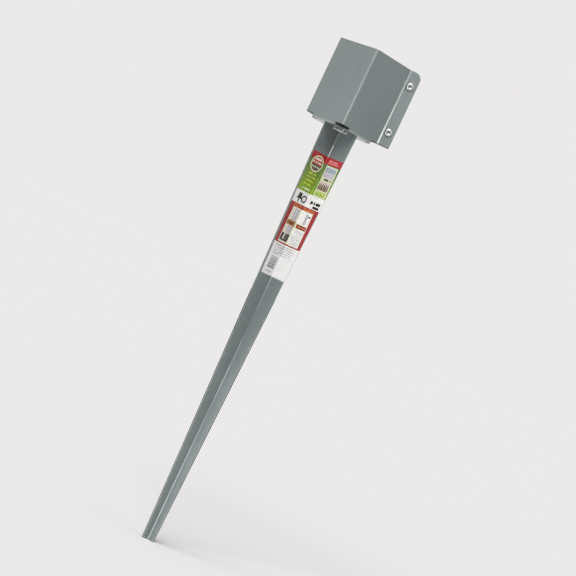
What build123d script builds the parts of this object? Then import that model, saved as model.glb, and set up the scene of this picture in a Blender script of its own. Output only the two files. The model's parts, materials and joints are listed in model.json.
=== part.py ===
from build123d import *
import os
from math import sqrt

# A post anchor spike: a folded sheet socket with a clamp at one corner, standing on a long spike of
# two V-folded blades welded back to back. Millimetres. The origin is the middle of the post seat,
# which is the upper face of the socket's floor tabs. +Z points up, out of the socket's open mouth.
# The clamp corner is at +X +Y. The bolt heads and the label face +X -Y.

# Socket sleeve
post_width = 88.9
post_clearance = 2.6
sheet = 2.0
corner_radius = 3.5
socket_depth = 140.0
fold_radius = 4.0
notch_size = 19.25
notch_corner_radius = 5.0
notch_rise = 1.2
mitre_gap = 1.2

# Clamp flanges at the corner of the sleeve
clamp_gap = 3.2
flange_reach = 86.5
flange_bend_radius = 3.0
flange_top_radius = 12.5
flange_foot_radius = 3.5
bolt_reach = 75.0
bolt_spacing = 85.0
bolt_hole_diameter = 7.1

# Clamp bolts and nuts, 1/4 in with 20 threads to the inch
thread_diameter = 6.3
bolt_length = 25.4
hex_across_flats = 11.11
head_height = 4.0
head_dish_diameter = 6.6
head_dish_depth = 0.9
nut_height = 5.56
nut_bore_diameter = 6.44
hex_turning_depth = 0.5
bolt_end_chamfer = 0.9
bearing_gap = 0.1

# Spike blades
blade_sheet = 2.5
blade_bend_radius = 2.0
blade_length = 762.0
blade_top_reach = 41.3
blade_tip_reach = 13.9
spine_gap = 0.1

# Label across the front blade's two inner faces
label_thickness = 0.25
label_drop = 50.0
label_height = 223.0
label_top_inset = 1.0
label_foot_inset = 3.7
label_overhang = 1.3

# Weld beads
bead_leg = 3.6
bead_toe = 0.6
fold_bead_radius = 11.0
side_bead_radius = 3.0
bead_run = 19.0
stitch_length = 32.0
stitch_count = 5
stitch_crown = 3.3
stitch_root_angle = 40

# Worked out from the driving dimensions
outer_half = (post_width + post_clearance) / 2 + sheet
inner_half = outer_half - sheet
tab_half = outer_half - notch_size
wall_foot = fold_radius - sheet
wall_height = socket_depth - wall_foot
underside = -sheet
flange_offset = clamp_gap / 2 + sheet
bend_reach = outer_half * sqrt(2) - flange_offset
blade_outer_radius = blade_bend_radius + blade_sheet
blade_offset = blade_sheet - blade_outer_radius * (1 - 1 / sqrt(2)) + spine_gap / 2 / sqrt(2)
bolt_middle = (wall_foot + socket_depth) / 2
bolt_heights = {"upper": bolt_middle + bolt_spacing / 2, "lower": bolt_middle - bolt_spacing / 2}
blade_taper = (blade_top_reach - blade_tip_reach) / blade_length

across_corner = Vector(1, 1, 0).normalized()
toward_heads = Vector(1, -1, 0).normalized()


def clamp_point(reach, offset):
    """A point in plan: reach along the clamp's diagonal, offset across it towards the bolt heads."""
    spot = across_corner * reach + toward_heads * offset
    return (spot.X, spot.Y)


def clamp_plane(height, offset=0.0):
    """A plane across a bolt's axis: x runs up, and the normal points out of the bolt's head."""
    spot = across_corner * bolt_reach + toward_heads * offset + Vector(0, 0, height)
    return Plane(origin=spot, x_dir=(0, 0, 1), z_dir=toward_heads)


def save(builder, label):
    """Names a finished piece and writes it to its own file."""
    builder.part.label = label
    export_step(builder.part, f"parts/{label}.step")


os.makedirs("parts", exist_ok=True)

# One of the four tabs folded in under the sleeve: the fold, then the flat that carries the post.
# Its two inner sides are mitred along the diagonals, and each corner of the floor is notched.
with BuildPart() as floor_tab:
    with BuildSketch(Plane.XZ):
        with BuildLine():
            Line((0, underside), (outer_half - fold_radius, underside))
            RadiusArc((outer_half - fold_radius, underside), (outer_half, wall_foot), -fold_radius)
            Line((outer_half, wall_foot), (inner_half, wall_foot))
            RadiusArc((inner_half, wall_foot), (outer_half - fold_radius, 0), wall_foot)
            Line((outer_half - fold_radius, 0), (0, 0))
            Line((0, 0), (0, underside))
        make_face()
    extrude(amount=outer_half, both=True)
    with BuildSketch(Plane.XY.offset(underside)) as tab_plan:
        with BuildLine():
            mitre = mitre_gap / sqrt(2)
            Polyline(
                (mitre, 0),
                (outer_half + mitre, outer_half),
                (outer_half + mitre, -outer_half),
                close=True,
            )
        make_face()
        with GridLocations(2 * outer_half, 2 * outer_half, 2, 2):
            RectangleRounded(2 * notch_size, 2 * notch_size, notch_corner_radius, mode=Mode.SUBTRACT)
    extrude(amount=fold_radius + sheet, mode=Mode.INTERSECT)

# The sleeve: one sheet that runs in from one clamp flange, round the four faces, and out again.
with BuildPart() as socket_sleeve:
    with BuildSketch(Plane.XY.offset(wall_foot)) as wall_plan:
        with BuildLine():
            FilletPolyline(
                clamp_point(flange_reach, flange_offset),
                clamp_point(bend_reach, flange_offset),
                (outer_half, -outer_half),
                (-outer_half, -outer_half),
                (-outer_half, outer_half),
                clamp_point(bend_reach, -flange_offset),
                clamp_point(flange_reach, -flange_offset),
                radius=[flange_bend_radius, *[corner_radius] * 3, flange_bend_radius],
            )
            offset(amount=sheet, side=Side.RIGHT)
        make_face()
    extrude(amount=wall_height)
    flange_corners = socket_sleeve.edges().filter_by(Axis((0, 0, 0), tuple(toward_heads)))
    fillet(flange_corners.group_by(Axis.Z)[-1], radius=flange_top_radius)
    flange_corners = socket_sleeve.edges().filter_by(Axis((0, 0, 0), tuple(toward_heads)))
    fillet(flange_corners.group_by(Axis.Z)[0], radius=flange_foot_radius)
    for height in bolt_heights.values():
        with BuildSketch(clamp_plane(height)):
            Circle(bolt_hole_diameter / 2)
        extrude(amount=flange_offset + sheet, both=True, mode=Mode.SUBTRACT)
    with BuildSketch(Plane.XY.offset(wall_foot)):
        with GridLocations(2 * outer_half, 2 * outer_half, 2, 2):
            RectangleRounded(2 * notch_size, 2 * notch_size, notch_corner_radius)
    extrude(amount=notch_rise, mode=Mode.SUBTRACT)
    with PolarLocations(0, 4):
        add(floor_tab.part)
save(socket_sleeve, "socket_sleeve")

# Each blade is one sheet folded to a right angle. Its fins narrow evenly down to the square-cut tip.
with BuildPart() as blade_front:
    with BuildSketch(Plane.XY.offset(underside)) as blade_plan:
        with BuildLine():
            FilletPolyline(
                (blade_top_reach, -blade_offset),
                (blade_offset, -blade_offset),
                (blade_offset, -blade_top_reach),
                radius=blade_bend_radius,
            )
            offset(amount=blade_sheet, side=Side.RIGHT)
        make_face()
    extrude(amount=-blade_length)
    with BuildSketch(Plane.XY.offset(underside)):
        Rectangle(2 * blade_top_reach, 2 * blade_top_reach)
    with BuildSketch(Plane.XY.offset(underside - blade_length)):
        Rectangle(2 * blade_tip_reach, 2 * blade_tip_reach)
    loft(mode=Mode.INTERSECT)
save(blade_front, "blade_front")

with BuildPart() as blade_rear:
    add(blade_front.part.rotate(Axis.Z, 180))
save(blade_rear, "blade_rear")

# The label is a thin printed sheet that follows the front blade's fold. It stands a little past the
# edge of the +X fin, and on the -Y fin it draws in from the edge towards its foot.
label_top = underside - label_drop
label_foot = label_top - label_height
reach_at_top = blade_top_reach - blade_taper * label_drop
reach_at_foot = reach_at_top - blade_taper * label_height
with BuildPart() as label:
    with BuildSketch(Plane.XY.offset(label_top)):
        with BuildLine():
            FilletPolyline(
                (blade_top_reach, -blade_offset),
                (blade_offset, -blade_offset),
                (blade_offset, -blade_top_reach),
                radius=blade_bend_radius,
            )
            offset(amount=label_thickness, side=Side.LEFT)
        make_face()
    extrude(amount=-label_height)
    with BuildSketch(Plane.XZ):
        with BuildLine():
            Polyline(
                (-blade_top_reach, label_top),
                (reach_at_top + label_overhang, label_top),
                (reach_at_foot + label_overhang, label_foot),
                (-blade_top_reach, label_foot),
                close=True,
            )
        make_face()
    extrude(amount=blade_top_reach, both=True, mode=Mode.INTERSECT)
    with BuildSketch(Plane.YZ):
        with BuildLine():
            Polyline(
                (blade_top_reach, label_top),
                (label_top_inset - reach_at_top, label_top),
                (label_foot_inset - reach_at_foot, label_foot),
                (blade_top_reach, label_foot),
                close=True,
            )
        make_face()
    extrude(amount=blade_top_reach, both=True, mode=Mode.INTERSECT)
save(label, "label")

# Fillet welds join the blades to the underside of the floor, one in each inner corner. Those in the
# two folds run along the inner faces of a blade, and those at the sides along the backs of both.
blade_back = blade_sheet - blade_offset


def bead_plan(near, width, radius):
    """An angle in plan, of one width, whose back edges stand at one distance from both axes. Its
    front edge is rounded across the corner."""
    with BuildSketch() as plan:
        with BuildLine():
            Line((near, near + bead_run), (near, near))
            Line((near, near), (near + bead_run, near))
            Line((near + bead_run, near), (near + bead_run, near + width))
            front = FilletPolyline(
                (near + bead_run, near + width),
                (near + width, near + width),
                (near + width, near + bead_run),
                radius=radius,
            )
            Line(front @ 1, (near, near + bead_run))
        make_face()
    return plan.sketch


def seat_bead(near, turn, radius):
    """The bead in the inner corner that a turn about +Z brings round from +X +Y."""
    with BuildPart() as bead:
        with BuildSketch(Plane.XY.offset(underside)):
            add(bead_plan(near, bead_leg, radius).rotate(Axis.Z, turn))
        with BuildSketch(Plane.XY.offset(underside - bead_leg)):
            add(bead_plan(near, bead_toe, radius).rotate(Axis.Z, turn))
        loft()
        add(blade_front.part, mode=Mode.SUBTRACT)
        add(blade_rear.part, mode=Mode.SUBTRACT)
    return bead


save(seat_bead(blade_offset, -90, fold_bead_radius), "weld_seat_front")
save(seat_bead(blade_offset, 90, fold_bead_radius), "weld_seat_rear")
save(seat_bead(blade_back, 0, side_bead_radius), "weld_seat_right")
save(seat_bead(blade_back, 180, side_bead_radius), "weld_seat_left")

# Stitch welds fill the grooves where the two blades' folds touch, at even steps down the spine. Each
# one lies against both folds, whose arcs are centred either side of the spine.
fold_centre = blade_offset + blade_bend_radius
stitch_pitch = (blade_length - bead_leg) / stitch_count
with BuildPart() as weld_spine_right:
    for step in range(stitch_count):
        with BuildSketch(Plane.XY.offset(underside - bead_leg - (step + 0.5) * stitch_pitch)):
            with BuildLine():
                front_fold = CenterArc((fold_centre, -fold_centre), blade_outer_radius, 90, stitch_root_angle)
                rear_fold = CenterArc((-fold_centre, fold_centre), blade_outer_radius, 0, -stitch_root_angle)
                Line(front_fold @ 1, rear_fold @ 1)
                ThreePointArc(front_fold @ 0, (stitch_crown, stitch_crown), rear_fold @ 0)
            make_face()
        extrude(amount=stitch_length / 2, both=True)
save(weld_spine_right, "weld_spine_right")

with BuildPart() as weld_spine_left:
    add(weld_spine_right.part.rotate(Axis.Z, 180))
save(weld_spine_left, "weld_spine_left")


def hexagon_blank(plane, height):
    """A hexagonal block on a plane, with the corners of both its ends turned off to a cone."""
    corner_reach = hex_across_flats / sqrt(3)
    with BuildPart() as turned:
        with BuildSketch(plane):
            Circle(corner_reach)
        extrude(amount=height)
        for end in turned.faces().filter_by(GeomType.PLANE):
            chamfer(end.edges(), corner_reach - hex_across_flats / 2, hex_turning_depth, reference=end)
    with BuildPart() as blank:
        with BuildSketch(plane):
            RegularPolygon(corner_reach, 6)
        extrude(amount=height)
        add(turned.part, mode=Mode.INTERSECT)
    return blank.part


# A bolt has a dished hexagonal head. Its shank passes through both flanges, away from the heads.
def clamp_bolt(height):
    """A clamp bolt at a height, with its head a running gap clear of the front flange."""
    seat = clamp_plane(height, flange_offset + bearing_gap)
    with BuildPart() as bolt:
        add(hexagon_blank(seat, head_height))
        with BuildSketch(seat.offset(head_height - head_dish_depth)):
            Circle(head_dish_diameter / 2)
        extrude(amount=head_dish_depth, mode=Mode.SUBTRACT)
        with BuildSketch(seat):
            Circle(thread_diameter / 2)
        extrude(amount=-bolt_length)
        shank_end = bolt.faces().sort_by(Axis((0, 0, 0), tuple(toward_heads)))[0]
        chamfer(shank_end.edges(), bolt_end_chamfer)
    return bolt


def clamp_nut(height):
    """The nut behind the rear flange, a running gap clear of it."""
    seat = clamp_plane(height, -flange_offset - bearing_gap - nut_height)
    with BuildPart() as nut:
        add(hexagon_blank(seat, nut_height))
        with BuildSketch(seat):
            Circle(nut_bore_diameter / 2)
        extrude(amount=nut_height, mode=Mode.SUBTRACT)
    return nut


for place, height in bolt_heights.items():
    save(clamp_bolt(height), f"bolt_{place}")
    save(clamp_nut(height), f"nut_{place}")
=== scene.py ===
import json
from math import cos, pi, radians, sin, sqrt
import bpy
from mathutils import Matrix, Vector, noise


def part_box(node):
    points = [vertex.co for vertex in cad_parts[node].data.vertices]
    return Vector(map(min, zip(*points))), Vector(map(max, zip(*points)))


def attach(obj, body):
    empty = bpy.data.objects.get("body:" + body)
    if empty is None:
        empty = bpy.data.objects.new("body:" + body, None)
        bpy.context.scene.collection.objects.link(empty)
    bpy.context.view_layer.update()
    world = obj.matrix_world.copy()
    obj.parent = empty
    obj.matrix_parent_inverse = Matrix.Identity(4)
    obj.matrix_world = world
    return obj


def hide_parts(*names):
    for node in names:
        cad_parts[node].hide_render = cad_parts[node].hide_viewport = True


# A post anchor spike stood upright, seen corner-on by a camera rolled so that the spike leans.
# Metres, in the CAD frame: +Z up, the clamp corner at +X +Y, the bolt heads and label facing +X -Y.

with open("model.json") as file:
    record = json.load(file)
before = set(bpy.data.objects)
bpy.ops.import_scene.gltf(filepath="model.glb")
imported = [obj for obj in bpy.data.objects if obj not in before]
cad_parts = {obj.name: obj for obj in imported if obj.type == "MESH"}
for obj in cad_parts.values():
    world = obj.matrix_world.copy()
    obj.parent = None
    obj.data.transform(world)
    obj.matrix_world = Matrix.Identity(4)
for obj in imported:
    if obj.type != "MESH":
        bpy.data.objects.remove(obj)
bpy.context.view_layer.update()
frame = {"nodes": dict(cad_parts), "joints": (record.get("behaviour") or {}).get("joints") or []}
nodes = frame["nodes"]

across = Vector((1, 1, 0)).normalized()
toward_viewer = Vector((1, -1, 0)).normalized()
up = Vector((0, 0, 1))

sleeve_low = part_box("socket_sleeve")[0]
blade_low, blade_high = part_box("blade_front")
underside = sleeve_low.z
tip = blade_low.z

# Where the sheets' features stand, for the painted highlights and painted shade in their materials.
# bend_reach is where the front flange bends out of its face, along the clamp's diagonal.
FLANGE_BEYOND = 0.081
NEAR_HEAD = 0.02
NEAR_TIP = 0.001
sleeve_half = -sleeve_low.x
sleeve_points = [vertex.co for vertex in nodes["socket_sleeve"].data.vertices]
corner_front = max(point.dot(toward_viewer) for point in sleeve_points)
flange_front = max(point.dot(toward_viewer) for point in sleeve_points if point.dot(across) > FLANGE_BEYOND)
bend_reach = sleeve_half * sqrt(2) - flange_front
blade_points = [vertex.co for vertex in nodes["blade_front"].data.vertices]
fin_reach_top = max(point.dot(across) for point in blade_points if point.z > underside - NEAR_HEAD)
fin_reach_tip = max(point.dot(across) for point in blade_points if point.z < tip + NEAR_TIP)
bolt_spots = [Vector(joint["pos_m"]) for joint in frame["joints"] if joint["child"].startswith("bolt_")]


# ---------------------------------------------------------------- node helpers

class Shader:
    """A material's node tree, with short ways to add nodes and join them."""

    def __init__(self, name):
        self.material = bpy.data.materials.new(name)
        self.material.use_nodes = True
        self.tree = self.material.node_tree
        self.tree.nodes.clear()
        self.output = self.add("ShaderNodeOutputMaterial")
        self.surface = self.add("ShaderNodeBsdfPrincipled")
        self.join(self.surface.outputs["BSDF"], self.output.inputs["Surface"])
        self.place = self.add("ShaderNodeTexCoord").outputs["Object"]

    def add(self, kind, **settings):
        node = self.tree.nodes.new(kind)
        for key, value in settings.items():
            setattr(node, key, value)
        return node

    def join(self, source, target):
        """Sets a socket to a value, or links it to another socket."""
        if isinstance(source, bpy.types.NodeSocket):
            self.tree.links.new(source, target)
        else:
            target.default_value = source

    def scaled(self, stretch, place=None):
        node = self.add("ShaderNodeMapping")
        self.join(place or self.place, node.inputs["Vector"])
        node.inputs["Scale"].default_value = stretch
        return node.outputs["Vector"]

    def noise(self, scale, detail=3.0, roughness=0.5, stretch=None, place=None):
        node = self.add("ShaderNodeTexNoise")
        self.join(self.scaled(stretch, place) if stretch else (place or self.place), node.inputs["Vector"])
        node.inputs["Scale"].default_value = scale
        node.inputs["Detail"].default_value = detail
        node.inputs["Roughness"].default_value = roughness
        return node.outputs["Fac"]

    def span(self, value, low, high, to_low=0.0, to_high=1.0):
        """Maps low..high to to_low..to_high, clamped."""
        node = self.add("ShaderNodeMapRange")
        self.join(value, node.inputs["Value"])
        node.inputs["From Min"].default_value = low
        node.inputs["From Max"].default_value = high
        node.inputs["To Min"].default_value = to_low
        node.inputs["To Max"].default_value = to_high
        return node.outputs["Result"]

    def sum(self, operation, *values):
        """Folds values together with one math operation."""
        if len(values) == 1:
            node = self.add("ShaderNodeMath", operation=operation)
            self.join(values[0], node.inputs[0])
            return node.outputs[0]
        total = values[0]
        for value in values[1:]:
            node = self.add("ShaderNodeMath", operation=operation)
            self.join(total, node.inputs[0])
            self.join(value, node.inputs[1])
            total = node.outputs[0]
        return total

    def blend(self, factor, below, above):
        """Mixes two colours."""
        node = self.add("ShaderNodeMix", data_type="RGBA")
        self.join(factor, node.inputs["Factor"])
        self.join(colour(below), node.inputs["A"])
        self.join(colour(above), node.inputs["B"])
        return node.outputs["Result"]

    def axis(self, name):
        node = self.add("ShaderNodeSeparateXYZ")
        self.join(self.place, node.inputs[0])
        return node.outputs[name]

    def reach(self):
        """How far a point is along the picture's level direction, from the spine towards the clamp."""
        return self.sum("MULTIPLY", self.sum("ADD", self.axis("X"), self.axis("Y")), sqrt(0.5))

    def front(self):
        """How far a point is from the spine towards the viewer."""
        return self.sum("MULTIPLY", self.sum("SUBTRACT", self.axis("X"), self.axis("Y")), sqrt(0.5))

    def vector(self, x, y, z):
        node = self.add("ShaderNodeCombineXYZ")
        for part, value in zip("XYZ", (x, y, z)):
            self.join(value, node.inputs[part])
        return node.outputs["Vector"]

    def within(self, value, low, high):
        """1 where a value lies from low to high, and 0 elsewhere."""
        node = self.add("ShaderNodeMath", operation="COMPARE")
        self.join(value, node.inputs[0])
        node.inputs[1].default_value = (low + high) / 2
        node.inputs[2].default_value = (high - low) / 2
        return node.outputs[0]

    def bump(self, height, distance, strength=1.0):
        node = self.add("ShaderNodeBump")
        self.join(height, node.inputs["Height"])
        node.inputs["Distance"].default_value = distance
        node.inputs["Strength"].default_value = strength
        self.join(node.outputs["Normal"], self.surface.inputs["Normal"])

    def set(self, **values):
        for key, value in values.items():
            self.join(colour(value), self.surface.inputs[key.replace("_", " ")])
        return self.material


def srgb(red, green, blue):
    """A colour from its usual 0 to 255 parts, as the linear light that shaders take."""
    return tuple((part / 255 / 12.92) if part < 11 else ((part / 255 + 0.055) / 1.055) ** 2.4
                 for part in (red, green, blue))


def colour(value):
    """A colour given as three parts gets its alpha."""
    return (*value, 1.0) if isinstance(value, tuple) and len(value) == 3 else value


# ---------------------------------------------------------------- materials

COAT_DARK = (0.142, 0.166, 0.165)
COAT_LIGHT = (0.160, 0.185, 0.184)
COAT_RUBBED = (0.30, 0.32, 0.32)
# the colour of painted highlights
COAT_HIGHLIGHT = (0.78, 0.80, 0.80)
# the colour of painted shade
COAT_SHADE = (0.035, 0.040, 0.040)
# painted shade on the weld beads
BEAD_SHADE_DARK, BEAD_SHADE_LIGHT = (0.05, 0.055, 0.055), (0.12, 0.13, 0.13)
BEAD_DARK, BEAD_LIGHT = (0.18, 0.20, 0.20), (0.26, 0.28, 0.28)
# painted highlight on the weld beads
BEAD_HIGHLIGHT_DARK, BEAD_HIGHLIGHT_LIGHT = (0.80, 0.82, 0.82), (0.92, 0.93, 0.93)
ZINC_BLUE, ZINC_STRAW, ZINC_SHADE = (0.80, 0.82, 0.84), (0.84, 0.83, 0.78), (0.10, 0.105, 0.105)

# Painted highlight on the sleeve, as lighter coat: how deep it goes at a corner, its place past the
# flange's bend, and its heights.
CORNER_HIGHLIGHT = (0.0004, 0.0001)
BEND_HIGHLIGHT = (0.0006, 0.0028)
BEND_DEPTH = 0.006
BEND_FADE = (0.125, 0.02)
# Painted shade along the foot of the sleeve's side corners, round the bolts' heads, and near the bolts'
# axes.
FOOT_BEYOND = (0.0530, 0.0540)
FOOT_LINE = (0.0050, 0.0042)
BOLT_SHADE = (0.0084, 0.0062)
BOLT_SHADE_ASIDE = 0.0012
BOLT_SHADE_BELOW = 0.0016
# painted shade near each bolt's axis
BOLT_DISH_SHADE = (0.0031, 0.0023)
# Painted highlight and painted shade along the front blade's fold and left edge, each from where it starts
# to where it is full.
FOLD_HIGHLIGHT = (0.0009, 0.0003)
FOLD_HIGHLIGHT_HEAD = (-0.30, -0.24)
FOLD_HIGHLIGHT_FOOT = -0.50
FOLD_SHADE = (0.0018, 0.0006)
FOLD_SHADE_HEAD = (-0.30, -0.36)
FOLD_SHADE_FOOT = (-0.62, -0.50)
EDGE_SHADE = (0.0024, 0.0010)
NECK_SHADE = (-0.055, -0.042)
NECK_SHADE_SIDE = (0.0004, -0.0012)
# Below the underside: a painted highlight along a seat weld's foot, and where painted shade gives way to
# plain coat.
HIGHLIGHT_BAND = (0.0035, 0.0024)
SHADE_FADE = (0.004, 0.008)


def coated_steel(name, painted_highlight, painted_shade):
    """Silver-grey enamel on sheet steel: faint clouding, fine orange peel, and small rubbed marks.
    One mask says where a highlight is painted as lighter coat, the other where shade is painted as darker
    coat."""
    s = Shader(name)
    cloud = s.noise(9.0, detail=4.0)
    speck = s.noise(900.0, detail=2.0)
    scuff = s.noise(60.0, detail=6.0, roughness=0.65, stretch=(1.0, 1.0, 0.12))
    rubbed = s.span(scuff, 0.64, 0.76)
    base = s.blend(s.span(cloud, 0.35, 0.65), COAT_DARK, COAT_LIGHT)
    base = s.blend(s.sum("MULTIPLY", rubbed, 0.3), base, COAT_RUBBED)
    # painted highlight: lighter coat where bends and folds catch the light
    base = s.blend(painted_highlight(s), base, COAT_HIGHLIGHT)
    # painted shade: darker coat where shade falls
    base = s.blend(painted_shade(s), base, COAT_SHADE)
    rough = s.sum("ADD", s.span(speck, 0.3, 0.7, 0.36, 0.44), s.sum("MULTIPLY", rubbed, 0.08))
    peel = s.sum("ADD", s.noise(700.0, detail=2.0), s.sum("MULTIPLY", s.noise(2600.0, detail=1.0), 0.3))
    s.bump(peel, 0.00002, 0.5)
    return s.set(Base_Color=base, Metallic=0.12, Roughness=rough,
                 Coat_Weight=1.0, Coat_IOR=1.9, Coat_Roughness=0.09)


def painted_bend_highlights(s):
    """A painted highlight, as thin lighter coat, down the sleeve's upright corners and inside the front
    flange's bend, where it brightens towards the foot."""
    streak = s.span(s.noise(300.0, detail=3.0, stretch=(1.0, 1.0, 0.05)), 0.3, 0.6, 0.35, 1.0)
    reach, front = s.reach(), s.front()
    outward = s.sum("MAXIMUM", s.sum("ABSOLUTE", front), s.sum("MULTIPLY", reach, -1.0))
    corner = s.span(outward, *(corner_front - depth for depth in CORNER_HIGHLIGHT), 0.0, 0.12)
    past_bend = s.within(reach, *(bend_reach + past for past in BEND_HIGHLIGHT))
    bend = s.sum("MULTIPLY", past_bend, s.within(front, 0.0, BEND_DEPTH))
    fade = s.span(s.axis("Z"), *BEND_FADE, 0.3, 1.0)
    return s.sum("MULTIPLY", s.sum("MAXIMUM", corner, s.sum("MULTIPLY", bend, fade)), streak)


def from_bolts(s, aside=0.0, below=0.0):
    """How far a point is from the nearer bolt's axis, or from a line beside and below that axis."""
    reach = s.reach()
    gaps = []
    for spot in bolt_spots:
        out = s.sum("SUBTRACT", reach, spot.dot(across) - aside)
        rise = s.sum("SUBTRACT", s.axis("Z"), spot.z - below)
        square = s.sum("ADD", s.sum("MULTIPLY", out, out), s.sum("MULTIPLY", rise, rise))
        gaps.append(s.sum("POWER", square, 0.5))
    return s.sum("MINIMUM", *gaps)


def painted_foot_and_bolt_shade(s):
    """Painted shade: a dark line along the sleeve's foot at its side corners, where the walls are cut clear
    of the floor, and a painted shadow beside and below the bolts' heads."""
    side = s.span(s.sum("ABSOLUTE", s.reach()), *FOOT_BEYOND)
    foot = s.sum("MULTIPLY", side, s.span(s.axis("Z"), *FOOT_LINE, 0.0, 0.9))
    bolts = s.span(from_bolts(s, BOLT_SHADE_ASIDE, BOLT_SHADE_BELOW), *BOLT_SHADE, 0.0, 0.5)
    return s.sum("MAXIMUM", foot, bolts)


def painted_edge_and_neck_shade(s):
    """Painted shade on the front blade's left cut edge, half way down its fold, and under the floor, where
    the sleeve shades the neck.
    """
    reach, z = s.reach(), s.axis("Z")
    edge = s.span(z, underside, tip, fin_reach_top, fin_reach_tip)
    margin = s.span(s.sum("ADD", reach, edge), *EDGE_SHADE, 0.0, 0.5)
    fold = s.span(s.sum("ABSOLUTE", reach), *FOLD_SHADE, 0.0, 0.4)
    middle = s.sum("MULTIPLY", s.span(z, *FOLD_SHADE_HEAD), s.span(z, *FOLD_SHADE_FOOT))
    neck = s.sum("MULTIPLY", s.span(z, *NECK_SHADE), s.span(reach, *NECK_SHADE_SIDE, 0.0, 0.36))
    return s.sum("MAXIMUM", margin, neck, s.sum("MULTIPLY", fold, middle))


def painted_fold_highlight(s):
    """A painted highlight: a fine bright line along the bottom of the blade's fold, near the neck and
    towards the tip.
    """
    line = s.span(s.sum("ABSOLUTE", s.reach()), *FOLD_HIGHLIGHT)
    neck = s.span(s.axis("Z"), *FOLD_HIGHLIGHT_HEAD, 0.0, 0.3)
    low = s.span(s.axis("Z"), FOLD_HIGHLIGHT_FOOT, tip, 0.0, 0.6)
    return s.sum("MULTIPLY", line, s.sum("MAXIMUM", neck, low))


def bright_zinc(name):
    """Bright zinc plate with a faint blue and straw tint and fine turning marks, and painted shade near the
    axis: in the head's dish, on the bolt's end and in the nut's bore.
    """
    s = Shader(name)
    base = s.blend(s.span(s.noise(260.0, detail=2.0), 0.35, 0.65), ZINC_BLUE, ZINC_STRAW)
    # painted shade near the axis
    base = s.blend(s.span(from_bolts(s), *BOLT_DISH_SHADE, 0.0, 0.85), base, ZINC_SHADE)
    rough = s.span(s.noise(1500.0, detail=3.0), 0.3, 0.7, 0.16, 0.28)
    s.bump(s.noise(2200.0, detail=3.0), 0.00002, 0.4)
    return s.set(Base_Color=base, Metallic=1.0, Roughness=rough)


def weld_metal(name):
    """Weld metal under thin enamel: painted shade against the floor above, a painted highlight along a seat
    weld's foot, and as grey as the coat further down."""
    s = Shader(name)
    z = s.axis("Z")
    grain = s.span(s.noise(220.0, detail=4.0), 0.35, 0.65)
    # painted highlight: a bright band along a seat weld's foot
    foot = s.within(z, *(underside - drop for drop in HIGHLIGHT_BAND))
    # painted shade near the floor above, fading into the bead's grey
    base = s.blend(s.span(z, *(underside - drop for drop in SHADE_FADE)),
                   s.blend(grain, BEAD_SHADE_DARK, BEAD_SHADE_LIGHT),
                   s.blend(grain, BEAD_DARK, BEAD_LIGHT))
    base = s.blend(foot, base, s.blend(grain, BEAD_HIGHLIGHT_DARK, BEAD_HIGHLIGHT_LIGHT))
    s.bump(s.noise(900.0, detail=3.0), 0.00004, 0.4)
    return s.set(Base_Color=base, Metallic=0.25, Roughness=0.28,
                 Coat_Weight=1.0, Coat_IOR=1.7, Coat_Roughness=0.12)


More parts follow.
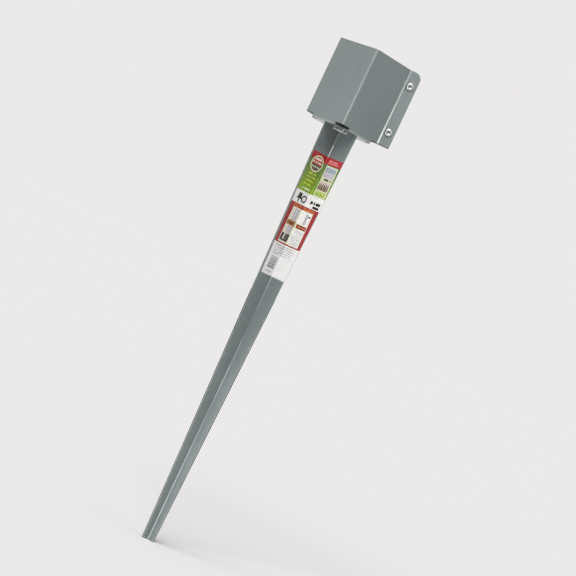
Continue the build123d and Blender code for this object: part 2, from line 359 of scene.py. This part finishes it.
def label_print(name, top):
    """A printed label. Its inks are placed by two measures in millimetres: across, from the fold, and
    down, from the label's top edge."""
    s = Shader(name)
    across_mm = s.sum("MULTIPLY", s.sum("ADD", s.axis("X"), s.axis("Y")), 1000.0)
    down_mm = s.sum("MULTIPLY", s.sum("SUBTRACT", top, s.axis("Z")), 1000.0)

    def patch(left, right, upper, lower):
        """A rectangle."""
        return s.sum("MULTIPLY", s.within(across_mm, left, right), s.within(down_mm, upper, lower))

    def ring(middle, drop, radius, width):
        """A round line about a point, or a disc when its width is its radius."""
        out = s.sum("SUBTRACT", across_mm, middle)
        fall = s.sum("SUBTRACT", down_mm, drop)
        square = s.sum("ADD", s.sum("MULTIPLY", out, out), s.sum("MULTIPLY", fall, fall))
        return s.within(s.sum("POWER", square, 0.5), radius - width, radius)

    def disc(radius):
        """A disc about the badge's middle."""
        return ring(-16.2, 19.0, radius, radius)

    def broken(left, right, upper, lower, word=5.0, seed=0.0):
        """A bar broken into short blocks of uneven length, as greeked copy is drawn in a layout."""
        run = s.noise(1.0, detail=0.0, place=s.vector(s.sum("DIVIDE", across_mm, word), seed, 0.0))
        return s.sum("MULTIPLY", patch(left, right, upper, lower), s.sum("GREATER_THAN", run, 0.42))

    def lines(left, right, upper, pitch, weight, count, word=3.0, seed=0.0):
        """A block of broken lines with a ragged right end."""
        bars = []
        for i in range(count):
            start = upper + i * pitch
            bars.append(broken(left, right - (i * 7 + 3) % 5, start, start + weight, word, seed + i * 3.7))
        return s.sum("MAXIMUM", *bars)

    art = srgb(233, 231, 230)

    def ink(mask, tone):
        """Prints a tone over what is there."""
        nonlocal art
        art = s.blend(mask, art, tone)

    red, deep_red = srgb(176, 42, 50), srgb(158, 42, 48)
    cream, black, brown = srgb(238, 236, 214), srgb(26, 30, 30), srgb(120, 70, 48)

    # Red heading, with two pale bars at the right; its left half is a darker red, as painted shade
    ink(patch(-60, 60, -5, 12.2), red)
    # painted shade: the heading's left half, on the dimmer fin
    ink(patch(-60, 0, -5, 12.2), srgb(168, 44, 50))
    ink(broken(6.5, 31.0, 4.2, 6.0, 4.0, 1.0), srgb(246, 170, 168))
    ink(broken(6.5, 33.0, 7.8, 9.6, 4.0, 9.0), srgb(246, 150, 150))

    # Green field, deeper at its top, with darker patches
    leaf = s.blend(s.span(down_mm, 14, 62), srgb(92, 112, 56), srgb(138, 170, 44))
    leaf = s.blend(s.span(s.noise(210.0, detail=3.0), 0.45, 0.75, 0.0, 0.5), leaf, srgb(60, 92, 44))
    ink(patch(-60, 60, 12.2, 69.8), leaf)
    ink(lines(-26.5, -3.6, 36.2, 6.4, 2.2, 4, 4.0, 4.0), srgb(206, 216, 60))
    ink(broken(-24.5, -4.0, 63.6, 65.8, 6.0, 2.0), srgb(240, 243, 228))

    # Round badge at the upper left: a cream rim round a red band and a striped middle
    ink(disc(14.6), srgb(222, 232, 190))
    ink(disc(12.4), srgb(168, 54, 52))
    middle = disc(11.2)
    ink(s.sum("MULTIPLY", middle, patch(-30, 0, 9.0, 13.0)), srgb(240, 220, 206))
    ink(s.sum("MULTIPLY", middle, patch(-30, 0, 21.0, 29.5)), srgb(70, 84, 62))
    ink(s.sum("MULTIPLY", middle, broken(-30, 0, 15.6, 18.2, 3.0, 5.0)), srgb(246, 226, 196))
    ink(s.sum("MULTIPLY", middle, broken(-30, 0, 23.4, 25.8, 3.0, 7.0)), srgb(214, 214, 190))

    # Pale panel on the right with small scenes of posts set in the ground
    ink(patch(6.8, 35.4, 13.6, 69.0), srgb(222, 226, 190))
    ink(patch(8.2, 33.6, 15.2, 34.6), srgb(198, 210, 222))
    ink(patch(8.2, 33.6, 25.6, 34.6), srgb(196, 186, 196))
    ink(posts(s, across_mm, patch(8.8, 33.0, 16.6, 24.6), 3.1, 0.42), srgb(52, 60, 66))
    ink(broken(10.4, 32.0, 36.0, 39.2, 5.0, 3.0), srgb(44, 48, 42))
    ink(patch(8.2, 33.6, 40.6, 57.6), srgb(206, 190, 184))
    ink(posts(s, across_mm, patch(9.0, 32.6, 46.0, 57.2), 4.3, 0.55), srgb(58, 44, 34))
    ink(posts(s, across_mm, patch(9.0, 32.6, 50.5, 57.2), 2.7, 0.45), brown)
    ink(patch(9.4, 32.4, 59.6, 67.6), srgb(150, 170, 60))
    ink(lines(10.5, 31.5, 61.0, 2.6, 1.2, 2, 3.0, 8.0), srgb(224, 226, 150))

    # White band with two bold black marks on the left and two short bars on the right
    ink(patch(-60, 60, 69.8, 92.4), srgb(238, 236, 235))
    ink(bold_marks(s, patch, ring), black)
    ink(lines(2.0, 7.4, 73.2, 2.4, 1.1, 2, 2.0, 6.0), srgb(120, 130, 126))
    ink(broken(8.4, 33.0, 79.4, 84.6, 4.6, 12.0), black)
    ink(broken(17.0, 33.0, 86.6, 91.0, 4.6, 15.0), black)

    # Red frame round a fitting guide, drawn as plain blocks
    ink(patch(-60, 60, 92.4, 165.4), deep_red)
    ink(lines(-25.6, 29.0, 94.6, 2.6, 0.9, 2, 6.0, 20.0), srgb(246, 172, 52))
    ink(patch(-23.4, 27.0, 99.4, 163.0), cream)
    ink(patch(-22.4, -2.6, 100.2, 162.0), srgb(226, 222, 204))
    ink(patch(0.4, 25.8, 100.2, 122.6), srgb(238, 238, 236))
    ink(patch(-15.8, -5.0, 101.0, 146.0), srgb(180, 178, 184))
    ink(patch(-13.4, -10.2, 101.0, 146.0), srgb(206, 204, 208))
    ink(patch(-22.4, -2.6, 121.8, 131.6), srgb(186, 152, 84))
    ink(broken(-22.4, -2.6, 124.2, 130.2, 3.4, 31.0), brown)
    ink(patch(-22.4, -3.0, 146.6, 160.4), srgb(64, 50, 40))
    ink(patch(-16.6, -13.6, 145.0, 157.4), srgb(222, 218, 206))
    ink(patch(-9.8, -8.4, 146.6, 158.0), srgb(120, 108, 96))
    ink(patch(13.2, 19.0, 103.0, 122.0), srgb(190, 190, 198))
    ink(patch(14.8, 16.4, 103.0, 122.0), srgb(150, 152, 158))
    ink(broken(19.6, 25.0, 105.4, 108.4, 2.0, 40.0), srgb(60, 66, 62))
    ink(patch(1.2, 26.0, 124.4, 131.8), srgb(132, 62, 44))
    ink(broken(3.0, 24.6, 126.8, 129.4, 3.6, 44.0), srgb(198, 128, 98))
    ink(patch(0.4, 25.8, 133.6, 161.6), srgb(230, 230, 228))
    ink(lines(2.0, 24.4, 135.6, 3.4, 1.1, 8, 5.0, 50.0), srgb(186, 188, 196))

    # White foot with fine grey lines and a stack of bars
    ink(lines(-23.0, 25.0, 168.6, 3.7, 1.7, 5, 3.2, 60.0), srgb(168, 166, 168))
    ink(patch(-21.0, -4.4, 189.6, 211.6), srgb(214, 213, 213))
    rung = s.noise(1.0, detail=1.0, place=s.vector(0.0, s.sum("DIVIDE", down_mm, 1.3), 3.0))
    bars = s.sum("GREATER_THAN", rung, 0.5)
    ink(s.sum("MULTIPLY", patch(-21.0, -4.4, 190.2, 211.0), bars), srgb(84, 88, 88))
    ink(broken(-21.0, -5.0, 215.8, 217.4, 2.4, 70.0), srgb(150, 150, 150))

    # The paper's own tone and grain
    art = s.blend(s.span(s.noise(700.0, detail=3.0), 0.3, 0.7, 0.26, 0.30), art, (0.0, 0.0, 0.0))
    s.bump(s.noise(420.0, detail=2.0), 0.00002, 0.4)
    return s.set(Base_Color=art, Roughness=0.42, Coat_Weight=0.35, Coat_Roughness=0.18)


def posts(s, across_mm, area, pitch, fill):
    """Upright bars at an even pitch, for the little fences on the label."""
    beat = s.sum("FRACT", s.sum("DIVIDE", across_mm, pitch))
    return s.sum("MULTIPLY", area, s.sum("LESS_THAN", beat, fill))


def bold_marks(s, patch, ring):
    """Two plain symbols: a post over its spike, and a ring."""
    post = patch(-24.4, -16.4, 74.0, 82.6)
    collar = patch(-26.0, -14.8, 81.2, 84.4)
    spike = patch(-21.6, -19.2, 83.0, 90.4)
    circle = ring(-8.6, 82.2, 6.6, 2.7)
    return s.sum("MAXIMUM", post, collar, spike, circle)


# ---------------------------------------------------------------- mesh helpers

def make_piece(name, points, faces, material, body, stands_for, sharp=35.0):
    """A mesh piece in place of a CAD node, smooth except at its sharp edges."""
    mesh = bpy.data.meshes.new(name)
    mesh.from_pydata(points, [], faces)
    mesh.validate()
    mesh.materials.append(material)
    mesh.shade_smooth()
    mesh.set_sharp_from_angle(angle=radians(sharp))
    piece = bpy.data.objects.new(name, mesh)
    bpy.context.scene.collection.objects.link(piece)
    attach(piece, body)
    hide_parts(stands_for)
    return piece


def skin(rows, ring=False, loop=False, caps=False):
    """Points and faces of a skin over rows of equally many points. A ring row closes on itself, a loop
    of rows joins its last row to its first, and caps close the two end rows."""
    width = len(rows[0])
    points = [tuple(point) for row in rows for point in row]
    faces = []
    for i in range(len(rows) if loop else len(rows) - 1):
        here = i * width
        there = (i + 1) % len(rows) * width
        for j in range(width if ring else width - 1):
            k = (j + 1) % width
            faces.append((here + j, here + k, there + k, there + j))
    if caps:
        last = (len(rows) - 1) * width
        faces.append(tuple(reversed(range(width))))
        faces.append(tuple(range(last, last + width)))
    return points, faces


# ---------------------------------------------------------------- bolts and nuts

SECTORS = 72
ACROSS_FLATS = 0.01111
HALF_FLATS = ACROSS_FLATS / 2
CORNER_REACH = ACROSS_FLATS / sqrt(3)
HEAD_HEIGHT = 0.004
DISH_RADIUS = 0.0033
DISH_DEPTH = 0.0009
THREAD_PITCH = 0.00127
THREAD_DEPTH = 0.00068
THREAD_CREST = 0.00315
NUT_BORE = 0.00322
THREAD_STEPS = 10
BEVEL_STEPS = 6
BEVEL_INSET = 0.0003
sector_angles = [2 * pi * i / SECTORS for i in range(SECTORS)]


def turned_ring(height, radius):
    """A circle at a height."""
    return [(radius * cos(a), radius * sin(a), height) for a in sector_angles]


def hex_ring(height, cap):
    """A hexagon at a height, with its corners turned down to a cap radius."""
    reaches = [min(HALF_FLATS / cos((a + pi / 6) % (pi / 3) - pi / 6), cap) for a in sector_angles]
    return [(r * cos(a), r * sin(a), height) for r, a in zip(reaches, sector_angles)]


def hex_bevel(end, inward):
    """Rings from a hexagon's end to where the cone that turns off its corners runs out."""
    start = HALF_FLATS - BEVEL_INSET
    rings = []
    for i in range(BEVEL_STEPS + 1):
        reach = start + (CORNER_REACH - start) * i / BEVEL_STEPS
        rings.append(hex_ring(end + inward * (reach - start) / sqrt(3), reach))
    return rings


def thread_rings(start, stop, crest, depth):
    """Rings along a right-hand thread, whose radius changes by depth between crests."""
    count = int(abs(stop - start) / THREAD_PITCH * THREAD_STEPS)
    rings = []
    for i in range(count + 1):
        height = start + (stop - start) * i / count
        ring = []
        for a in sector_angles:
            phase = (height / THREAD_PITCH - a / (2 * pi)) % 1.0
            groove = min(1.0, max(0.0, 1.35 * (1 - abs(2 * phase - 1)) - 0.12))
            radius = crest - depth * groove
            ring.append((radius * cos(a), radius * sin(a), height))
        rings.append(ring)
    return rings


def reach_along(node, direction):
    """How far a node's points go along a direction: the least and the most."""
    reaches = [direction.dot(vertex.co) for vertex in nodes[node].data.vertices]
    return min(reaches), max(reaches)


def on_bolt_axis(points, place_name):
    """Takes points from a bolt's own frame, with +Z out of its head, to where the bolt is."""
    joint = next(joint for joint in frame["joints"] if joint["child"] == f"bolt_{place_name}")
    spot = Vector(joint["pos_m"])
    foot = spot - toward_viewer * spot.dot(toward_viewer)
    turn = Matrix((up, toward_viewer.cross(up), toward_viewer)).transposed()
    return [tuple(foot + turn @ Vector(point)) for point in points]


def clamp_bolt(place_name, material):
    """A hexagon-head bolt: dished head, washer face, and a rolled thread down to a chamfered end."""
    node = f"bolt_{place_name}"
    low, high = reach_along(node, toward_viewer)
    seat = high - HEAD_HEIGHT
    core = THREAD_CREST - THREAD_DEPTH
    rows = [
        turned_ring(high - DISH_DEPTH, DISH_RADIUS * 0.5),
        turned_ring(high - DISH_DEPTH * 0.96, DISH_RADIUS * 0.8),
        turned_ring(high - DISH_DEPTH * 0.7, DISH_RADIUS * 0.95),
        turned_ring(high - DISH_DEPTH * 0.2, DISH_RADIUS * 1.01),
        turned_ring(high, DISH_RADIUS * 1.07),
        turned_ring(high, HALF_FLATS - 0.0006),
        *hex_bevel(high - 0.00005, -1),
        hex_ring(seat + 0.0006, CORNER_REACH),
        hex_ring(seat + 0.0004, CORNER_REACH - 0.0002),
        turned_ring(seat + 0.0003, HALF_FLATS * 0.98),
        turned_ring(seat, HALF_FLATS * 0.96),
        turned_ring(seat, THREAD_CREST + 0.0002),
        *thread_rings(seat - 0.0003, low + 0.001, THREAD_CREST, THREAD_DEPTH),
        turned_ring(low + 0.0008, core),
        turned_ring(low, core - 0.0004),
    ]
    points, faces = skin(rows, ring=True, caps=True)
    points = on_bolt_axis(points, place_name)
    make_piece(f"{node}_hexagon_head", points, faces, material, node, node)


def clamp_nut(place_name, material):
    """A plain hexagon nut with both ends turned off and a threaded bore."""
    node = f"nut_{place_name}"
    low, high = reach_along(node, toward_viewer)
    mouth = 0.0004
    rows = [
        turned_ring(high, NUT_BORE + mouth),
        turned_ring(high, HALF_FLATS - 0.0005),
        *hex_bevel(high - 0.00005, -1),
        *reversed(hex_bevel(low + 0.00005, 1)),
        turned_ring(low, HALF_FLATS - 0.0005),
        turned_ring(low, NUT_BORE + mouth),
        *thread_rings(low + mouth, high - mouth, NUT_BORE, -THREAD_DEPTH),
    ]
    points, faces = skin(rows, ring=True, loop=True)
    points = on_bolt_axis(points, place_name)
    make_piece(f"{node}_hexagon", points, faces, material, node, node)


# ---------------------------------------------------------------- weld beads

BEAD_LEG = 0.0036
BEAD_RUN = 0.019
FOLD_BEAD_RADIUS = 0.011
SIDE_BEAD_RADIUS = 0.003
BEAD_STEPS = 160
BEAD_SIDES = 14
RIPPLE_PITCH = 0.0014
STITCH_CROWN = 0.0047
STITCH_ROOT = 0.0006
STITCH_STEPS = 90
STITCH_END = 0.62
STITCH_EDGE = 14
STITCH_RIPPLE = 0.07


def ripple(along, lean, depth, seed):
    """A weld's swelling at a place along its run: overlapping scales that lean back, and some wander."""
    scale = 1.0 - (along / RIPPLE_PITCH - lean) % 1.0
    return 1.0 + depth * (scale - 0.5) + depth * noise.noise(Vector((along * 260.0, seed, 0.0)))


def bead_end(along, length, leg):
    """A bead's size near its ends, which are rounded off."""
    inside = min(1.0, min(along, length - along) / (1.5 * leg))
    return 0.3 + 0.7 * sqrt(inside * (2.0 - inside))


def seat_weld(node, near, bend, turn_degrees, depth, material):
    """A convex fillet bead round one inner corner, under the floor. near is how far the sheets'
    faces stand from both axes, and bend rounds the bead's front across the corner."""
    turn = Matrix.Rotation(radians(turn_degrees), 4, "Z")
    straight = BEAD_RUN - BEAD_LEG - bend
    arc = bend * pi / 2
    length = 2 * straight + arc
    centre = near + BEAD_LEG + bend
    rows = []
    for i in range(BEAD_STEPS + 1):
        along = length * i / BEAD_STEPS
        if along < straight:
            front, out = Vector((near + BEAD_RUN - along, near + BEAD_LEG, 0)), Vector((0, 1, 0))
        elif along < straight + arc:
            angle = (along - straight) / bend
            out = Vector((sin(angle), cos(angle), 0))
            front = Vector((centre, centre, 0)) - out * bend
        else:
            past = along - straight - arc
            front, out = Vector((near + BEAD_LEG, centre + past, 0)), Vector((1, 0, 0))
        size = bead_end(along, length, BEAD_LEG)
        leg = BEAD_LEG * size
        foot = front - out * BEAD_LEG
        root = Vector((near, near, 0)) + (foot - Vector((near, near, 0))) * 0.4
        row = [root + up * underside, root + up * (underside - leg * 0.5)]
        for j in range(BEAD_SIDES + 1):
            slope = pi / 2 * (1 - j / BEAD_SIDES)
            swell = leg * ripple(along, 0.5 * sin(2 * slope), depth, near * 900 + turn_degrees)
            row.append(foot + out * swell * cos(slope) + up * (underside - swell * sin(slope)))
        rows.append([turn @ point for point in row])
    points, faces = skin(rows, ring=True, caps=True)
    make_piece(f"{node}_bead", points, faces, material, "frame", node, sharp=60.0)


def spine_weld(node, side, material):
    """Rippled stitches down the groove between the blades' folds, one for each stitch of the node."""
    heights = sorted({round(vertex.co.z, 6) for vertex in nodes[node].data.vertices})
    points, faces = [], []
    for number, (foot, head) in enumerate(zip(heights[::2], heights[1::2])):
        length = head - foot
        rows = []
        for i in range(STITCH_STEPS + 1):
            along = length * i / STITCH_STEPS
            swelling = STITCH_END + (1 - STITCH_END) * bead_end(along, length, STITCH_CROWN)
            crown = STITCH_CROWN * swelling
            row = [Vector((STITCH_ROOT, STITCH_ROOT, foot + along))]
            for j in range(BEAD_SIDES + 1):
                angle = radians(STITCH_EDGE + (90 - 2 * STITCH_EDGE) * j / BEAD_SIDES)
                swell = crown * ripple(along, 0.5 * sin(2 * angle), STITCH_RIPPLE, number * 3.1)
                row.append(Vector((swell * cos(angle), swell * sin(angle), foot + along)))
            rows.append([Vector((side * point.x, side * point.y, point.z)) for point in row])
        more, skins = skin(rows, ring=True, caps=True)
        faces.extend(tuple(index + len(points) for index in face) for face in skins)
        points.extend(more)
    make_piece(f"{node}_stitches", points, faces, material, "frame", node, sharp=60.0)


# ---------------------------------------------------------------- label

SAME_LEVEL = 1e-5
LABEL_COLUMNS = 120
LABEL_ROWS = 220
LABEL_LIFT = 0.00006
LABEL_BRIDGE = 0.0016
LABEL_THICKNESS = 0.00014
LABEL_BUBBLE = 0.00010
LABEL_PEEL = 0.00025
PEEL_MARGIN = 0.003
CURL_MARGIN = 0.0012
CURL_SLOPE = 0.5


def flat_offset(node):
    """How far a folded sheet's nearer face stands from the plane through the spine, on its +X leg."""
    return -max(vertex.co.y for vertex in nodes[node].data.vertices)


def reach_at(node, height):
    """How far a folded sheet reaches at a height: along -Y, and along +X."""
    level = [vertex.co for vertex in nodes[node].data.vertices if abs(vertex.co.z - height) < SAME_LEVEL]
    return max(-point.y for point in level), max(point.x for point in level)


def label_sheet(material):
    """A printed sticker. It bridges the fold a little, with faint bubbles and lifting edges."""
    low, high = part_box("label")
    face = flat_offset("label")
    left_head, right_head = reach_at("label", high.z)
    left_foot, right_foot = reach_at("label", low.z)
    rows = []
    for i in range(LABEL_ROWS + 1):
        down = i / LABEL_ROWS
        z = high.z + (low.z - high.z) * down
        left = left_head + (left_foot - left_head) * down - face
        right = right_head + (right_foot - right_head) * down - face
        row = []
        for j in range(LABEL_COLUMNS + 1):
            spread = (left + right) * j / LABEL_COLUMNS - left
            fold = sqrt(spread * spread + LABEL_BRIDGE * LABEL_BRIDGE)
            bubble = LABEL_BUBBLE * max(0.0, noise.noise(Vector((spread * 90, z * 60, 4.0))))
            edge = min(left + spread, right - spread, z - low.z, high.z - z)
            lift = max(0.0, noise.noise(Vector((spread * 40, z * 25, 9.0))))
            peel = max(0.0, 1.0 - edge / PEEL_MARGIN) * lift
            proud = face + LABEL_LIFT + bubble + LABEL_PEEL * peel
            curl = CURL_SLOPE * max(0.0, spread - (right - CURL_MARGIN))
            row.append(Vector((proud + (fold + spread) / 2, curl - proud - (fold - spread) / 2, z)))
        rows.append(row)
    points, faces = skin(rows)
    sheet = make_piece("label_sheet", points, faces, material, "frame", "label", sharp=80.0)
    thickness = sheet.modifiers.new("thickness", "SOLIDIFY")
    thickness.thickness = LABEL_THICKNESS
    thickness.offset = 1.0


# ---------------------------------------------------------------- dress the object

EDGE_ROUNDING = 0.0003
EDGE_ANGLE = radians(40)
WELD_REACH = 0.00001


def dress(name, material, rounded=True):
    """Gives a CAD sheet its coat, and rounds its cut edges a little where that is asked for."""
    data = nodes[name].data
    data.materials.clear()
    data.materials.append(material)
    if not rounded:
        return
    weld = nodes[name].modifiers.new("weld", "WELD")
    weld.merge_threshold = WELD_REACH
    bevel = nodes[name].modifiers.new("edges", "BEVEL")
    bevel.width = EDGE_ROUNDING
    bevel.segments = 2
    bevel.angle_limit = EDGE_ANGLE
    bevel.harden_normals = True


sleeve_coat = coated_steel("sleeve_coat", painted_bend_highlights, painted_foot_and_bolt_shade)
blade_coat = coated_steel("blade_coat", painted_fold_highlight, painted_edge_and_neck_shade)
zinc = bright_zinc("bright_zinc")
bead_metal = weld_metal("weld_metal")

dress("socket_sleeve", sleeve_coat, rounded=False)
dress("blade_front", blade_coat)
dress("blade_rear", blade_coat)
for place_name in ("upper", "lower"):
    clamp_bolt(place_name, zinc)
    clamp_nut(place_name, zinc)

blade_face = flat_offset("label")
blade_back = blade_high.y
seat_weld("weld_seat_front", blade_face, FOLD_BEAD_RADIUS, -90, 0.02, bead_metal)
seat_weld("weld_seat_rear", blade_face, FOLD_BEAD_RADIUS, 90, 0.06, bead_metal)
seat_weld("weld_seat_right", blade_back, SIDE_BEAD_RADIUS, 0, 0.06, bead_metal)
seat_weld("weld_seat_left", blade_back, SIDE_BEAD_RADIUS, 180, 0.06, bead_metal)
spine_weld("weld_spine_right", 1, bead_metal)
spine_weld("weld_spine_left", -1, bead_metal)
label_sheet(label_print("label_print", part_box("label")[1].z))


# ---------------------------------------------------------------- camera, floor and light

CAMERA_DISTANCE = 3.375
CAMERA_AIM_DROP = 0.2786
CAMERA_AIM_SHIFT = 0.0333
CAMERA_ROLL = radians(25.24)
CAMERA_LENS = 125.0
CAMERA_SENSOR = 36.0
CAMERA_CLIP = 60.0
FLOOR_HALF = 60.0


def stand_camera():
    """A long lens looking level at the near corner, rolled so that the spike leans to the right."""
    data = bpy.data.cameras.new("camera")
    data.lens = CAMERA_LENS
    data.sensor_width = CAMERA_SENSOR
    data.clip_end = CAMERA_CLIP
    camera = bpy.data.objects.new("camera", data)
    bpy.context.scene.collection.objects.link(camera)
    right = up * sin(CAMERA_ROLL) + across * cos(CAMERA_ROLL)
    top = up * cos(CAMERA_ROLL) - across * sin(CAMERA_ROLL)
    aim = across * CAMERA_AIM_SHIFT + up * (underside - CAMERA_AIM_DROP)
    turn = Matrix((right, top, toward_viewer)).transposed().to_4x4()
    camera.matrix_world = Matrix.Translation(aim + toward_viewer * CAMERA_DISTANCE) @ turn
    bpy.context.scene.camera = camera


def lay_floor():
    """A plain pale floor under the tip, which melts into the pale surroundings."""
    mesh = bpy.data.meshes.new("floor")
    corners = [(x * FLOOR_HALF, y * FLOOR_HALF, tip) for x, y in ((-1, -1), (1, -1), (1, 1), (-1, 1))]
    mesh.from_pydata(corners, [], [(0, 1, 2, 3)])
    floor = bpy.data.objects.new("floor", mesh)
    bpy.context.scene.collection.objects.link(floor)
    s = Shader("floor_paint")
    mesh.materials.append(s.set(Base_Color=(0.80, 0.80, 0.79), Roughness=0.9))
    floor.is_shadow_catcher = True


# The surroundings' colour behind the object, and the light that they cast, from the horizon up.
BACKDROP = (0.83, 0.82, 0.815, 1.0)
GLOW_COLOUR = (0.98, 1.0, 1.0, 1.0)
GLOW_BELOW = 0.32
GLOW_ABOVE = 0.95
GLOW_TOP = 0.9
# Each lamp's name, azimuth, height, distance, width, own height, power, and the height it aims at.
LAMPS = [
    ("key", -14, 1.6, 1.9, 1.2, 1.0, 52, -0.1),
    ("left_strip", -44, 0.22, 2.5, 0.14, 0.8, 4, 0.1),
    ("right_strip", 52, -0.10, 2.5, 0.10, 0.5, 2.0, -0.1),
    ("low_strip", -46, -0.60, 1.4, 0.10, 0.28, 2.8, -0.6),
    ("floor_light", -50, -0.42, 0.35, 0.25, 0.25, 1.35, -3.0),
]


def soft_light(name, azimuth, height, distance, wide, tall, power, aim_height):
    """A rectangular lamp: azimuth turns from the viewer's direction towards +X +Y, in degrees."""
    data = bpy.data.lights.new(name, "AREA")
    data.shape = "RECTANGLE"
    data.size = wide
    data.size_y = tall
    data.energy = power
    lamp = bpy.data.objects.new(name, data)
    bpy.context.scene.collection.objects.link(lamp)
    turn = radians(azimuth)
    spot = (toward_viewer * cos(turn) + across * sin(turn)) * distance + up * height
    aim = up * aim_height
    facing = (spot - aim).to_track_quat("Z", "Y").to_matrix().to_4x4()
    lamp.matrix_world = Matrix.Translation(spot) @ facing


def light_scene():
    """Pale surroundings, dimmer in reflections than behind the object, and the soft lamps."""
    world = bpy.data.worlds.new("studio")
    bpy.context.scene.world = world
    world.use_nodes = True
    tree = world.node_tree
    seen = tree.nodes["Background"]
    seen.inputs["Color"].default_value = BACKDROP
    cast = tree.nodes.new("ShaderNodeBackground")
    cast.inputs["Color"].default_value = GLOW_COLOUR
    place = tree.nodes.new("ShaderNodeTexCoord")
    parts = tree.nodes.new("ShaderNodeSeparateXYZ")
    glow = tree.nodes.new("ShaderNodeMapRange")
    glow.inputs["From Min"].default_value = 0.0
    glow.inputs["From Max"].default_value = GLOW_TOP
    glow.inputs["To Min"].default_value = GLOW_BELOW
    glow.inputs["To Max"].default_value = GLOW_ABOVE
    tree.links.new(place.outputs["Generated"], parts.inputs[0])
    tree.links.new(parts.outputs["Z"], glow.inputs["Value"])
    tree.links.new(glow.outputs["Result"], cast.inputs["Strength"])
    choice = tree.nodes.new("ShaderNodeMixShader")
    ray = tree.nodes.new("ShaderNodeLightPath")
    tree.links.new(ray.outputs["Is Camera Ray"], choice.inputs["Fac"])
    tree.links.new(cast.outputs["Background"], choice.inputs[1])
    tree.links.new(seen.outputs["Background"], choice.inputs[2])
    tree.links.new(choice.outputs["Shader"], tree.nodes["World Output"].inputs["Surface"])
    for lamp in LAMPS:
        soft_light(*lamp)


stand_camera()
lay_floor()
light_scene()
bpy.context.scene.view_settings.view_transform = "Standard"
bpy.context.scene.view_settings.look = "None"
